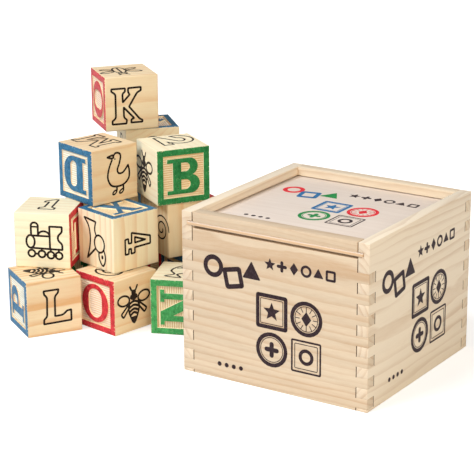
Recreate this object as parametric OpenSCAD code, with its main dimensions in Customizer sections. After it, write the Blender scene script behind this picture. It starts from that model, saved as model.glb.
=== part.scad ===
// Alphabet blocks with their box: a finger-jointed pine box with a sliding lid,
// and sixteen carved and printed cubes stacked beside it.
// The origin is the middle of the box's underside, X runs along the front, Z is up.

/* [Blocks] */
// Side of one block
block_side = 30; // [24:1:36]
// Radius on the edges of a block
edge_round = 0.8; // [0.4:0.1:1.6]
// Width of the painted frame round a carved face
frame_w = 3.6; // [2.5:0.1:5]
// Depth of the carved ground below the frame
relief_depth = 0.8; // [0.4:0.1:1.4]
// Space between the frame and the raised letter
letter_margin = 1.7; // [1:0.1:3]

/* [Box] */
// Width of the box along its front
box_w = 103; // [80:1:130]
// Depth of the box from front to back
box_d = 103; // [80:1:130]
// Height of the side walls
box_h = 82; // [60:1:110]
// Thickness of the four walls
wall = 6; // [5:0.5:9]
// Thickness of the bottom panel
bottom_t = 3; // [2:0.2:5]
// How far the bottom panel reaches into the rebate of each wall
rebate = 3; // [2:0.2:4]

/* [Finger joints] */
// Height of one finger
finger_h = 5.1; // [3:0.1:8]
// Height of the lowest finger above the underside
finger_start = 1.4; // [0.5:0.1:3]

/* [Lid] */
// Thickness of the sliding panel
lid_t = 1.6; // [1.2:0.1:4]
// Depth of the rim above the panel
lid_drop = 5; // [3:0.2:9]
// Depth of the groove that the panel runs in
groove = 3; // [2:0.1:4]
// Depth of the rail glued on the panel's front edge
rail_d = 6.5; // [4:0.5:12]
// How far the panel's front edge stands proud of the rail
lid_proud = 0.6; // [0.2:0.1:1.5]

/* [Clearances] */
// Play above the panel in its groove
groove_play = 0.4; // [0.2:0.1:0.8]
// Play beside and behind the panel in its groove
side_play = 0.3; // [0.2:0.1:0.6]
// Play between the rail and the side walls
rail_play = 0.4; // [0.2:0.1:0.8]
// Gap between the front wall and the panel
front_gap = 1.5; // [0.3:0.1:2.5]
// Clear space between the box and the nearest block
pile_gap = 13; // [4:1:40]
// Clear space between a block and the one that it stands on
stack_play = 0.05; // [0.02:0.01:0.2]

/* [Hidden] */
$fn = 48;
// Overrun of a cut past the face that it opens
over = 0.5;

// Inner size of the box, and the heights that the lid sets
opening_w = box_w - 2 * wall;
opening_d = box_d - 2 * wall;
lid_z = box_h - lid_drop - lid_t;
front_h = lid_z - front_gap;
pile_x = -(box_w / 2 + pile_gap);
panel_side = block_side - 2 * frame_w;
letter_h = panel_side - 2 * letter_margin;

// Each block: share of the block's side from the pile's edge along X, share along Y, level, turn
place_shares = [
    ["block_k", -3.11, 1.56, 3, -38],
    ["block_goose", -2.74, 0.23, 2, -16],
    ["block_b", -1.60, 0.93, 2, -33],
    ["block_blue", -2.86, 1.91, 2, -43],
    ["block_train", -3.13, -0.70, 1, 23],
    ["block_four", -2.02, -0.17, 1, -15],
    ["block_red", -1.62, 1.10, 1, -25],
    ["block_l", -2.82, -1.28, 0, -32],
    ["block_bee", -1.83, -0.52, 0, -11],
    ["block_n", -0.74, 0.01, 0, 22],
    ["base_block_left", -3.45, -0.08, 0, -13],
    ["base_block_right", -1.28, 1.24, 0, -20],
    ["base_block_middle", -2.59, 0.79, 0, -20],
    ["base_block_back", -2.65, 1.95, 0, -24],
    ["inner_block_front", -3.00, 0.70, 1, 2],
    ["inner_block_back", -2.82, 1.95, 1, -28]
];

// Strokes of each letter, in shares of its height, about its centre.
// bar: start, end, width. bowl: start, run, radius, side and top width.
// oval: centre, width, height, side and top width. arc: centre, radius, width, from, to.
letter_shares = [
    ["A", [
        ["bar", -0.36, -0.52, 0.00, 0.52, 0.17],
        ["bar", 0.31, -0.52, -0.06, 0.52, 0.31],
        ["bar", -0.26, -0.16, 0.20, -0.16, 0.15],
        ["bar", -0.52, -0.44, -0.16, -0.44, 0.12],
        ["bar", 0.06, -0.44, 0.52, -0.44, 0.12]]],
    ["B", [
        ["bar", -0.19, -0.5, -0.19, 0.5, 0.25],
        ["bar", -0.48, 0.44, 0.00, 0.44, 0.12],
        ["bar", -0.48, -0.44, 0.00, -0.44, 0.12],
        ["bowl", -0.09, 0.25, 0.26, 0.25, 0.24, 0.13],
        ["bowl", -0.09, -0.235, 0.30, 0.265, 0.28, 0.13]]],
    ["C", [
        ["arc", 0.03, 0, 0.50, 0.24, 48, 312],
        ["bar", 0.33, 0.14, 0.33, 0.48, 0.12],
        ["bar", 0.33, -0.48, 0.33, -0.22, 0.12]]],
    ["D", [
        ["bar", -0.21, -0.5, -0.21, 0.5, 0.28],
        ["bar", -0.49, 0.44, 0.06, 0.44, 0.12],
        ["bar", -0.49, -0.44, 0.06, -0.44, 0.12],
        ["oval", 0.07, 0, 0.86, 1.00, 0.29, 0.14]]],
    ["E", [
        ["bar", -0.18, -0.5, -0.18, 0.5, 0.25],
        ["bar", -0.43, 0.44, 0.38, 0.44, 0.12],
        ["bar", -0.43, -0.44, 0.40, -0.44, 0.12],
        ["bar", -0.18, 0.00, 0.18, 0.00, 0.12],
        ["bar", 0.34, 0.20, 0.34, 0.50, 0.12],
        ["bar", 0.36, -0.50, 0.36, -0.18, 0.12],
        ["bar", 0.14, -0.13, 0.14, 0.13, 0.10]]],
    ["H", [
        ["bar", -0.26, -0.5, -0.26, 0.5, 0.24],
        ["bar", 0.26, -0.5, 0.26, 0.5, 0.24],
        ["bar", -0.26, 0.00, 0.26, 0.00, 0.13],
        ["bar", -0.48, 0.44, -0.05, 0.44, 0.12],
        ["bar", 0.05, 0.44, 0.48, 0.44, 0.12],
        ["bar", -0.48, -0.44, -0.05, -0.44, 0.12],
        ["bar", 0.05, -0.44, 0.48, -0.44, 0.12]]],
    ["N", [
        ["bar", -0.31, -0.5, -0.31, 0.5, 0.17],
        ["bar", 0.31, -0.5, 0.31, 0.5, 0.17],
        ["bar", -0.29, 0.52, 0.29, -0.52, 0.27],
        ["bar", -0.50, 0.44, -0.20, 0.44, 0.12],
        ["bar", -0.50, -0.44, -0.14, -0.44, 0.12],
        ["bar", 0.14, 0.44, 0.50, 0.44, 0.12]]],
    ["O", [
        ["oval", 0, 0, 1.04, 1.07, 0.26, 0.13]]],
    ["P", [
        ["bar", -0.19, -0.5, -0.19, 0.5, 0.24],
        ["bar", -0.44, 0.44, 0.00, 0.44, 0.12],
        ["bar", -0.44, -0.44, 0.05, -0.44, 0.12],
        ["bowl", -0.12, 0.21, 0.25, 0.29, 0.24, 0.13]]],
    ["S", [
        ["arc", 0, 0.225, 0.275, 0.18, 25, 270],
        ["arc", 0, -0.225, 0.275, 0.18, -155, 90],
        ["bar", 0.26, 0.20, 0.26, 0.47, 0.11],
        ["bar", -0.26, -0.47, -0.26, -0.20, 0.11]]],
    ["T", [
        ["bar", 0.00, -0.5, 0.00, 0.5, 0.26],
        ["bar", -0.43, 0.44, 0.43, 0.44, 0.12],
        ["bar", -0.25, -0.44, 0.25, -0.44, 0.12],
        ["bar", -0.37, 0.18, -0.37, 0.50, 0.12],
        ["bar", 0.37, 0.18, 0.37, 0.50, 0.12]]],
    ["U", [
        ["bar", -0.26, -0.16, -0.26, 0.5, 0.24],
        ["bar", 0.30, -0.16, 0.30, 0.5, 0.15],
        ["arc", 0.00, -0.13, 0.37, 0.18, 180, 360],
        ["bar", -0.48, 0.44, -0.05, 0.44, 0.12],
        ["bar", 0.12, 0.44, 0.49, 0.44, 0.12]]],
    ["X", [
        ["bar", -0.28, 0.54, 0.28, -0.54, 0.25],
        ["bar", 0.28, 0.52, -0.28, -0.52, 0.14],
        ["bar", -0.49, 0.44, -0.08, 0.44, 0.12],
        ["bar", 0.12, 0.44, 0.48, 0.44, 0.12],
        ["bar", -0.48, -0.44, -0.12, -0.44, 0.12],
        ["bar", 0.08, -0.44, 0.49, -0.44, 0.12]]]
];

// Rotation that turns the front face to each side of a block
face_turns = [
    ["front", [0, 0, 0]], ["right", [0, 0, 90]], ["back", [0, 0, 180]], ["left", [0, 0, -90]],
    ["top", [-90, 0, 0]], ["bottom", [90, 0, 0]]
];

// The row of a table that starts with a name
function row_of(table, name) = [for (row = table) if (row[0] == name) row][0];

// Height of the foot of each finger, counted from the underside
function finger_z(i) = finger_start + 2 * i * finger_h;
// How many fingers fit under a given height
function finger_count(height) = floor((height - finger_start - finger_h) / (2 * finger_h)) + 1;

module rounded_square(side, r) {
    square([side - 2 * r, side], center = true);
    square([side, side - 2 * r], center = true);
    for (x = [-1, 1], y = [-1, 1])
        translate([x, y] * (side / 2 - r)) circle(r);
}

// A cube with rounded edges, standing on the plane z = 0
module rounded_cube(side, r) {
    translate([0, 0, side / 2]) intersection() {
        linear_extrude(side, center = true) rounded_square(side, r);
        rotate([90, 0, 0]) linear_extrude(side, center = true) rounded_square(side, r);
        rotate([0, 90, 0]) linear_extrude(side, center = true) rounded_square(side, r);
    }
}

// A straight stroke from p to q
module bar(p, q, w) {
    step = q - p;
    translate(p) rotate(atan2(step[1], step[0])) translate([0, -w / 2]) square([norm(step), w]);
}

// Half of a flattened disc that bulges to the right
module half_disc(run, r) {
    intersection() {
        union() {
            translate([0, -r]) square([run, 2 * r]);
            translate([run, 0]) circle(r);
        }
        translate([0, -r]) square([run + r, 2 * r]);
    }
}

// The bowl of a letter: a half disc with a smaller one cut out
module bowl(run, r, side_w, top_w) {
    difference() {
        half_disc(run, r);
        half_disc(run - side_w + top_w, r - top_w);
    }
}

// An upright oval with straight flanks
module upright_oval(w, h) {
    square([w, h - w], center = true);
    for (y = [-1, 1]) translate([0, y * (h - w) / 2]) circle(w / 2);
}

module oval_ring(w, h, side_w, top_w) {
    difference() {
        upright_oval(w, h);
        upright_oval(w - 2 * side_w, h - 2 * top_w);
    }
}

// Part of a ring between two angles
module arc(r, w, from, to) {
    steps = ceil((to - from) / 45);
    angles = [for (i = [0 : steps]) from + (to - from) * i / steps];
    intersection() {
        difference() {
            circle(r);
            circle(r - w);
        }
        polygon([[0, 0], for (angle = angles) 2 * r * [cos(angle), sin(angle)]]);
    }
}

// One stroke of a letter of height h. A bar is cut level with the letter's top and foot.
module stroke(s, h) {
    if (s[0] == "bar") intersection() {
        bar([s[1], s[2]] * h, [s[3], s[4]] * h, s[5] * h);
        square([2 * h, h], center = true);
    }
    if (s[0] == "bowl") translate([s[1], s[2]] * h) bowl(s[3] * h, s[4] * h, s[5] * h, s[6] * h);
    if (s[0] == "oval") translate([s[1], s[2]] * h) oval_ring(s[3] * h, s[4] * h, s[5] * h, s[6] * h);
    if (s[0] == "arc") translate([s[1], s[2]] * h) arc(s[3] * h, s[4] * h, s[5], s[6]);
}

// A block letter of height h about the origin
module letter(name, h) {
    for (s = row_of(letter_shares, name)[1]) stroke(s, h);
}

// Puts a drawing on a side of a block, with the drawing's Z pointing out of the block
module on_face(side_name) {
    translate([0, 0, block_side / 2])
        rotate(row_of(face_turns, side_name)[1])
            translate([0, -block_side / 2, 0])
                rotate([90, 0, 0]) children();
}

// The wood taken away round a raised letter
module carving(name, turn) {
    translate([0, 0, -relief_depth]) linear_extrude(relief_depth + over) difference() {
        square(panel_side, center = true);
        rotate(turn) letter(name, letter_h);
    }
}

// A block with carved letters on two opposite sides: [side, letter, turn] for each
module block(first, second) {
    difference() {
        rounded_cube(block_side, edge_round);
        for (face = [first, second]) on_face(face[0]) carving(face[1], face[2]);
    }
}

// Stands a block at its place in the pile
module stand(name) {
    place = row_of(place_shares, name);
    translate([
        pile_x + place[1] * block_side,
        place[2] * block_side,
        place[3] * (block_side + stack_play)
    ]) rotate([0, 0, place[4]]) children();
}

module block_k() color("burlywood")
    stand("block_k") block(["front", "O", 90], ["back", "E", 0]);
module block_goose() color("wheat")
    stand("block_goose") block(["front", "D", 180], ["back", "H", 0]);
module block_b() color("burlywood")
    stand("block_b") block(["right", "B", 0], ["left", "P", 0]);
module block_blue() color("wheat")
    stand("block_blue") block(["top", "S", 50], ["bottom", "U", 0]);
module block_train() color("cornsilk")
    stand("block_train") block(["right", "T", 0], ["left", "H", 0]);
module block_four() color("burlywood")
    stand("block_four") block(["top", "X", 90], ["bottom", "A", 0]);
module block_red() color("burlywood")
    stand("block_red") block(["top", "E", 0], ["bottom", "N", 0]);
module block_l() color("wheat")
    stand("block_l") block(["front", "P", 90], ["back", "U", 0]);
module block_bee() color("burlywood")
    stand("block_bee") block(["front", "O", 0], ["back", "T", 0]);
module block_n() color("wheat")
    stand("block_n") block(["front", "N", 90], ["back", "X", 0]);
module base_block_left() color("wheat")
    stand("base_block_left") block(["left", "B", 0], ["right", "N", 0]);
module base_block_right() color("wheat")
    stand("base_block_right") block(["back", "C", 0], ["front", "P", 0]);
module base_block_middle() color("wheat")
    stand("base_block_middle") block(["left", "U", 0], ["right", "S", 0]);
module base_block_back() color("wheat")
    stand("base_block_back") block(["back", "D", 0], ["front", "X", 0]);
module inner_block_front() color("wheat")
    stand("inner_block_front") block(["left", "A", 0], ["right", "O", 0]);
module inner_block_back() color("wheat")
    stand("inner_block_back") block(["back", "S", 0], ["front", "H", 0]);

// The fingers of the front or back wall: end is -1 at the front and 1 at the back
module fingers(end, height) {
    for (i = [0 : finger_count(height) - 1], side = [-1, 1])
        translate([side * (box_w - wall) / 2, end * (box_d - wall) / 2, finger_z(i) + finger_h / 2])
            cube([wall, wall, finger_h], center = true);
}

// The space that the lid's panel runs in, open at the front
module lid_groove() {
    reach = opening_d / 2 + groove;
    translate([-(opening_w / 2 + groove), -(box_d / 2 + over), lid_z])
        cube([opening_w + 2 * groove, box_d / 2 + over + reach, lid_t + groove_play]);
}

// The rebate that the bottom panel sits in, with an overrun below the box
module bottom_rebate() {
    translate([0, 0, (bottom_t - over) / 2])
        cube([opening_w + 2 * rebate, opening_d + 2 * rebate, bottom_t + over], center = true);
}

// A front or back wall between the side walls, with its fingers
module cross_wall(end, height) {
    difference() {
        union() {
            translate([0, end * (box_d - wall) / 2, height / 2])
                cube([opening_w, wall, height], center = true);
            fingers(end, height);
        }
        lid_groove();
        bottom_rebate();
    }
}

// A side wall with pockets for the fingers of the front and back walls
module side_wall(side) {
    difference() {
        translate([side * (box_w - wall) / 2, 0, box_h / 2]) cube([wall, box_d, box_h], center = true);
        fingers(-1, front_h);
        fingers(1, box_h);
        lid_groove();
        bottom_rebate();
    }
}

module front_wall() color("navajowhite") cross_wall(-1, front_h);
module back_wall() color("navajowhite") cross_wall(1, box_h);
module left_wall() color("bisque") side_wall(-1);
module right_wall() color("bisque") side_wall(1);

module bottom_panel() color("tan")
    translate([0, 0, bottom_t / 2])
        cube([opening_w + 2 * rebate, opening_d + 2 * rebate, bottom_t], center = true);

// The thin panel that slides in the grooves and shuts into the back wall
module lid_panel() color("antiquewhite") {
    half_w = opening_w / 2 + groove - side_play;
    front_y = -(box_d / 2 + lid_proud);
    back_y = opening_d / 2 + groove - side_play;
    translate([-half_w, front_y, lid_z]) cube([2 * half_w, back_y - front_y, lid_t]);
}

// The rail on the panel's front edge, flush with the rim of the side walls
module lid_rail() color("bisque")
    translate([-(opening_w / 2 - rail_play), -box_d / 2, lid_z + lid_t])
        cube([opening_w - 2 * rail_play, rail_d, lid_drop]);

front_wall();
back_wall();
left_wall();
right_wall();
bottom_panel();
lid_panel();
lid_rail();
block_k();
block_goose();
block_b();
block_blue();
block_train();
block_four();
block_red();
block_l();
block_bee();
block_n();
base_block_left();
base_block_right();
base_block_middle();
base_block_back();
inner_block_front();
inner_block_back();
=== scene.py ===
"""Looks of the alphabet block set: a box with a sliding lid and a pile of carved and printed blocks."""
import math

import bmesh
import bpy
from mathutils import Matrix, Vector


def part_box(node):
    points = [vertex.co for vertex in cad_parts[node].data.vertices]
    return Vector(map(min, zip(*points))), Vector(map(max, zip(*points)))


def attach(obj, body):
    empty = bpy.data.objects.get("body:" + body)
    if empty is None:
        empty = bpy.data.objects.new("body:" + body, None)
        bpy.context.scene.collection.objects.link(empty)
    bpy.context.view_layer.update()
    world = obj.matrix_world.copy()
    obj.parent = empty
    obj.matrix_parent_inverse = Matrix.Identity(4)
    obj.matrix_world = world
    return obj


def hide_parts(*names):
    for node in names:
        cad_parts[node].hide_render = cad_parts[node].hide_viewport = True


MM = 0.001

# Camera, as the photograph was taken
CAMERA_PLACE = (0.4246, -0.7281, 0.3272)
CAMERA_AZIMUTH = 33.3
CAMERA_ELEVATION = 17.39
CAMERA_ROLL = -0.35
CAMERA_LENS = 136.7
SENSOR = 36.0

# Lights: strength, angle in degrees, where it comes from, colour
SUNS = {
    "key": (2.15, 26.0, (-0.33, -0.55, 0.77), (0.95, 1.0, 1.05)),
    "fill": (1.5, 34.0, (0.68, -0.57, 0.47), (1.0, 0.84, 0.62)),
}
SKY_LEVEL = 0.34
FLOOR_GLOW = 0.55
FLOOR_REACH = 6.0

# Colours as they are written in sRGB
FLOOR_WHITE = "d8d8d8"
PALE_WOOD = "fbf3d4"
TAN_WOOD = "e2b27a"
FLECK_WOOD = "fff8e4"
PALE_PINE = "e4d4bc"
# Paler pine of the side walls: painted light
LIT_SIDE_PINE = "f3e4ce"
TAN_PINE = "c09a74"
PALE_PLY = "ece0d6"
TAN_PLY = "cfbcae"
EDGE_PLY = "dfb98e"
BARE_SPECK = "e8d8b0"
INK = "1a0e08"
BOX_INK = "2b1c22"
# Painted shade in the seams between the box's fingers
PAINTED_SEAM_SHADE = "3a2412"
# Tones of the carved grounds; the pale one is partly painted light, on carved sides that face the key light
GROUNDS = {"pale": "f6f7f0", "rosy": "fde6d2", "tan": "f4e4c2"}
# Darker wood for the ribs' valleys: painted shade
GROOVE_SHADES = {"pale": "dfdcc4", "rosy": "f0caaa", "tan": "d6b47e"}
PAINTS = {"red": "cf2733", "blue": "226c96", "green": "148040", "leaf": "3fa055"}
SIGN_INKS = {"red": "cf2733", "blue": "22689a", "green": "148040", "black": BOX_INK}

# Sizes of the finish, in metres
INK_RISE = 0.04 * MM
INK_SINK = 0.02 * MM
RIB_PITCH = 1.2 * MM
RIB_HEIGHT = 0.28 * MM
LETTER_SOFTNESS = 0.16 * MM
BOX_SOFTNESS = 0.22 * MM
SEAM_REACH = 0.5 * MM
LEVEL_SLACK = 0.02 * MM
LEAST_CARVING = 0.1 * MM
DEEPEST_CARVING = 2 * MM
PAINT_REACH = 0.25 * MM
WEAR_REACH = 1.3 * MM
JOIN_REACH = 0.001 * MM
CUT_SLACK = 0.0005 * MM

# Cuts in a rib, share of it on each side of its lowest line that gets darker wood as painted shade,
# and faces in a soft edge
RIB_STEPS = 4
GROOVE_SHARE = 0.25
SOFT_STEPS = 2

# Width of a printed line, in shares of the face's side, and how much higher each next line stands, in
# shares of INK_RISE
LINE_SHARE = 0.036
RISE_STEP_SHARE = 0.03

# Least step along a line, and how far its half width may grow where it turns
SAME_POINT_SHARE = 1e-7
LEAST_MITRE_COSINE = 0.4
GREATEST_MITRE = 2.0

# Angles in radians of the cuts in a line's round end, and how much of an edge a rounded corner may take
CAP_ANGLES = (0.55, 1.0, 1.35)
CORNER_SHARE = 0.45

# Angles in degrees: between faces that are joined, at edges that are softened or shaded as sharp
FLAT_ANGLE = 0.4
CORNER_ANGLE = 60
BLOCK_SHARP_ANGLE = 32
BOX_SHARP_ANGLE = 50

# Cosine between a side's way out and a face: least for a level and for a painted one, greatest for an
# upright one and for those that give a block's turn
LEVEL_COSINE = 0.999
PAINTED_COSINE = 0.55
UPRIGHT_COSINE = 0.05
TURN_COSINE = 0.01

# Places of a block's four materials, the last a darker wood as painted shade in the ribs' valleys
WOOD_PLACE, PAINT_PLACE, GROUND_PLACE, GROOVE_PLACE = range(4)

# Patterns in waves per millimetre, for wood with the grain along the last number
BEND_SCALE = (0.03, 0.03, 0.008)
RIPPLE_SCALE = (0.16, 0.16, 0.028)
BAND_SCALE = (0.10, 0.10, 0.010)
FIBRE_SCALE = (3.2, 3.2, 0.10)
FLECK_SCALE = (1.1, 1.1, 0.25)
PLY_STREAK_SCALE = (0.02, 0.55, 0.55)
PLY_CLOUD_SCALE = (0.03, 0.05, 0.05)
PLY_FIBRE_SCALE = (0.12, 3.4, 3.4)
PAINT_CLOUD_SCALE = (0.25, 0.25, 0.25)
PAINT_MARK_SCALE = (0.95, 0.95, 0.60)
PAINT_SPECK_SCALE = (1.9, 1.9, 1.9)
PAINT_NICK_SCALE = (1.1, 1.1, 1.1)
INK_SCALE = (0.9, 0.9, 0.9)

# How far a seed shifts the wood's patterns, and how far these bend the growth rings, in millimetres
SEED_STEP = (37.1, 19.7, 53.3)
BEND_REACH = 9
RIPPLE_REACH = 2.2

# Growth ring: shades from one early wood to the next
RING_STOPS = [(0.0, 0.04), (0.50, 0.12), (0.80, 0.80), (0.92, 1.0), (1.0, 0.04)]

# How much tan each pattern brings, in shares of the step from pale to tan. Rings gain in the broad bands.
RING_SHARE = 0.6
LEAST_RING = 0.1
RING_GAIN = 1.5
BAND_SHARE = 0.6
FIBRE_SHARE = 0.34
END_SHARE = 0.16
END_POWER = 4.0
FLECK_SHARE = 0.16
PLY_STREAK_SHARE = 0.5
PLY_CLOUD_SHARE = 0.3
PLY_FIBRE_SHARE = 0.4
PLY_PALE_SHARE = 0.12
PLY_EDGE_SHARE = 0.9

# How high fibres and rings stand in the wood's relief, and specks in the paint's
FIBRE_RISE = 0.7
RING_RISE = -0.3
SPECK_RISE = 0.4

# Paint: shares of its patterns, where each begins and is full, and factor and lift of its two shades
PAINT_CLOUD_SHARE = 0.45
PAINT_MARK_SHARE = 0.75
PAINT_STOPS = [(0.42, 0.0), (0.78, 1.0)]
SPECK_STOPS = [(0.72, 0.0), (0.78, 1.0)]
SPECK_SHARE = 0.5
EDGE_WEAR_SHARE = 0.26
WORN_STOPS = [(0.74, 0.0), (0.82, 1.0)]
WORN_SHARE = 0.75
DEEP_PAINT = (0.62, 0.0)
LIGHT_PAINT = (1.30, 0.025)

# Ink: stops, and factor and lift of its lighter shade
INK_STOPS = [(0.4, 0.0), (0.75, 1.0)]
LIGHT_INK = (1.5, 0.012)

# Where a block's pith lies beside its centre in millimetres, its step to the next block, and after how
# many blocks it comes back
BLOCK_PITH = (30, 22)
BLOCK_PITH_STEP = (7, 5)
BLOCK_PITH_COUNT = (4, 3)
BLOCK_WAVES = 0.7

# Roughness and gloss of the surfaces, and depth in metres and strength of their fine relief
WOOD_ROUGHNESS = 0.55
PLY_ROUGHNESS = 0.6
PAINT_ROUGHNESS = 0.5
INK_ROUGHNESS = 0.6
FLOOR_ROUGHNESS = 0.8
GLOSS = 0.25
INK_GLOSS = 0.2
WOOD_RELIEF = (0.06 * MM, 0.7)
PLY_RELIEF = (0.03 * MM, 0.6)
PAINT_RELIEF = (0.10 * MM, 0.9)

# Grain axis, seed, contrast and darkness of the carved grounds, on the ribs and in the grooves, where
# the darker wood is painted shade
RIB_GRAIN = ("X", 20, 0.4, -0.08)
GROOVE_GRAIN = ("X", 21, 0.4, 0.0)

# Each block: colour of its paint, tone of its carved ground, grain axis, strength of its grain, how dark
# its wood is, and ring pitch. Both tone and darkness are partly painted light and shade: pale grounds on
# carved sides that face the key light, and each wood's darkness follows the light its block catches.
BLOCKS = {
    "block_k": ("red", "rosy", "Y", 0.75, 0.40, 4.2),
    "block_goose": ("blue", "pale", "Y", 0.45, 0.50, 3.6),
    "block_b": ("green", "tan", "X", 0.35, 0.08, 3.4),
    "block_blue": ("blue", "pale", "X", 0.50, 0.20, 3.0),
    "block_train": ("red", "rosy", "X", 0.40, 0.04, 4.0),
    "block_four": ("blue", "tan", "Z", 0.75, 0.12, 4.4),
    "block_red": ("red", "tan", "Z", 0.75, 0.42, 3.6),
    "block_l": ("blue", "pale", "Y", 1.4, 0.42, 3.8),
    "block_bee": ("red", "rosy", "Y", 0.55, 0.46, 3.4),
    "block_n": ("leaf", "tan", "X", 0.50, 0.10, 3.2),
    "base_block_left": ("green", "tan", "X", 0.60, 0.16, 3.4),
    "base_block_right": ("blue", "tan", "Z", 0.60, 0.16, 4.0),
    "base_block_middle": ("red", "tan", "Y", 0.60, 0.16, 3.0),
    "base_block_back": ("green", "pale", "X", 0.60, 0.16, 3.6),
    "inner_block_front": ("blue", "tan", "Z", 0.60, 0.16, 3.8),
    "inner_block_back": ("red", "tan", "Y", 0.60, 0.16, 3.2),
}

# Each board of the box: name of its wood, its two colours, grain axis, seed, contrast, darkness, pith,
# ring pitch and share of tan at its ends. The pith sets where the rings run. The paler side walls, the
# darker front wall and rail, and the ends' shares that go with them are partly painted light and shade.
BOARDS = {
    "front_wall": ("front_pine", PALE_PINE, TAN_PINE, "X", 3, 0.70, 0.34, (68, 27.5), 3.3, -0.12),
    "back_wall": ("back_pine", PALE_PINE, TAN_PINE, "X", 5, 0.80, 0.10, (50, -22), 3.3, 0.0),
    "left_wall": ("left_pine", LIT_SIDE_PINE, TAN_PINE, "Y", 7, 0.60, 0.0, (21.5, 30), 3.3, 0.34),
    "right_wall": ("right_pine", LIT_SIDE_PINE, TAN_PINE, "Y", 9, 0.60, -0.02, (-21.5, 36), 3.3, 0.34),
    "lid_rail": ("rail_pine", PALE_PINE, TAN_PINE, "X", 11, 0.45, 0.44, (10, 20), 2.6, 0.16),
}

# Blocks whose carved ground has its ribs up the face's height
RIBS_UPRIGHT = ("block_n", "block_four", "base_block_left", "inner_block_front")


def colour(code):
    """Linear colour of an sRGB code."""
    parts = [int(code[i:i + 2], 16) / 255 for i in (0, 2, 4)]
    linear = [p / 12.92 if p <= 0.04045 else ((p + 0.055) / 1.055) ** 2.4 for p in parts]
    return (*linear, 1.0)


# Drawings: points in shares of the face's side, from its centre, X to the right and Y up


def turned(x, y, angle):
    """A point turned about the origin by an angle in radians."""
    return x * math.cos(angle) - y * math.sin(angle), x * math.sin(angle) + y * math.cos(angle)


def ellipse(x, y, rx, ry, start=0, end=360, tilt=0, step=15):
    """Points of an ellipse, or of part of one, turned by tilt."""
    count = max(2, round(abs(end - start) / step))
    points = []
    for i in range(count + (abs(end - start) < 360)):
        a = math.radians(start + (end - start) * i / count)
        across, up = turned(rx * math.cos(a), ry * math.sin(a), math.radians(tilt))
        points.append((x + across, y + up))
    return points


def spline(points, closed=False, steps=6):
    """A smooth curve through the points, by Catmull and Rom's formula."""
    count = len(points)
    smooth = []
    for i in range(count if closed else count - 1):
        near = [k % count if closed else min(max(k, 0), count - 1) for k in range(i - 1, i + 3)]
        a, b, c, d = (Vector(points[k]) for k in near)
        for k in range(steps):
            t = k / steps
            square = (2 * a - 5 * b + 4 * c - d) * t ** 2
            cube = (3 * b - a - 3 * c + d) * t ** 3
            p = 0.5 * (2 * b + (c - a) * t + square + cube)
            smooth.append((p.x, p.y))
    if not closed:
        smooth.append(tuple(points[-1]))
    return smooth


def rounded(points, r=0.012, steps=3):
    """A closed outline with rounded corners. A point may have its own radius as a third number."""
    count = len(points)
    smooth = []
    for i, point in enumerate(points):
        here = Vector(point[:2])
        before = Vector(points[i - 1][:2]) - here
        after = Vector(points[(i + 1) % count][:2]) - here
        size = point[2] if len(point) > 2 else r
        reach = min(size, before.length * CORNER_SHARE, after.length * CORNER_SHARE)
        start = here + before.normalized() * reach
        end = here + after.normalized() * reach
        for k in range(steps + 1):
            t = k / steps
            p = start * (1 - t) ** 2 + here * 2 * t * (1 - t) + end * t ** 2
            smooth.append((p.x, p.y))
    return smooth


def stroke(points, closed=False, width=LINE_SHARE):
    """A line through the points."""
    return ("stroke", points, closed, width)


def outline(points, r=0.012, width=LINE_SHARE):
    """A line round a shape with rounded corners."""
    return stroke(rounded(points, r), True, width)


def oval(x, y, rx, ry, tilt=0, width=LINE_SHARE):
    """A line round an ellipse."""
    return stroke(ellipse(x, y, rx, ry, tilt=tilt), True, width)


def blot(points):
    """A filled outline."""
    return ("blot", points, True, 0)


def moved(drawing, x=0, y=0, turn=0, size=1, flip=False):
    """A drawing turned, resized, mirrored and shifted."""
    side = -1 if flip else 1
    made = []
    for kind, points, closed, width in drawing:
        new = []
        for u, v in points:
            across, up = turned(u * side * size, v * size, math.radians(turn))
            new.append((x + across, y + up))
        made.append((kind, new, closed, width * size))
    return made


def letter_k():
    """The letter K."""
    return [outline([
        (-0.38, 0.28), (-0.125, 0.28), (-0.125, 0.225), (-0.175, 0.18, 0.04), (-0.17, 0.025), (-0.04, 0.16),
        (-0.07, 0.21, 0.04), (-0.065, 0.28), (0.17, 0.285), (0.17, 0.225), (0.1, 0.19, 0.03),
        (-0.055, -0.06), (0.14, -0.3, 0.03), (0.19, -0.325), (0.19, -0.36), (-0.02, -0.36),
        (-0.015, -0.3), (0.035, -0.28), (-0.155, -0.07), (-0.155, -0.255, 0.04), (-0.1, -0.305),
        (-0.11, -0.37), (-0.37, -0.37), (-0.37, -0.31), (-0.305, -0.26, 0.04), (-0.305, 0.185, 0.04),
        (-0.38, 0.235)])]


def letter_l():
    """The letter L."""
    return [outline([
        (-0.19, 0.31), (0.08, 0.31), (0.07, 0.25), (0.01, 0.19, 0.04), (0.005, -0.17), (0.15, -0.165, 0.04),
        (0.225, -0.1), (0.3, -0.09), (0.3, -0.28), (-0.2, -0.29), (-0.195, -0.21), (-0.14, -0.16, 0.04),
        (-0.13, 0.19, 0.04), (-0.18, 0.245)])]


def letter_m():
    """The letter M."""
    return [outline([
        (-0.36, 0.28), (-0.18, 0.28), (0, -0.05), (0.18, 0.28), (0.36, 0.28), (0.36, 0.21), (0.3, 0.19),
        (0.3, -0.2), (0.36, -0.22), (0.36, -0.29), (0.12, -0.29), (0.12, -0.22), (0.18, -0.2),
        (0.18, 0.06), (0, -0.26), (-0.18, 0.06), (-0.18, -0.2), (-0.12, -0.22), (-0.12, -0.29),
        (-0.36, -0.29), (-0.36, -0.22), (-0.3, -0.2), (-0.3, 0.19), (-0.36, 0.21)])]


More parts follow.
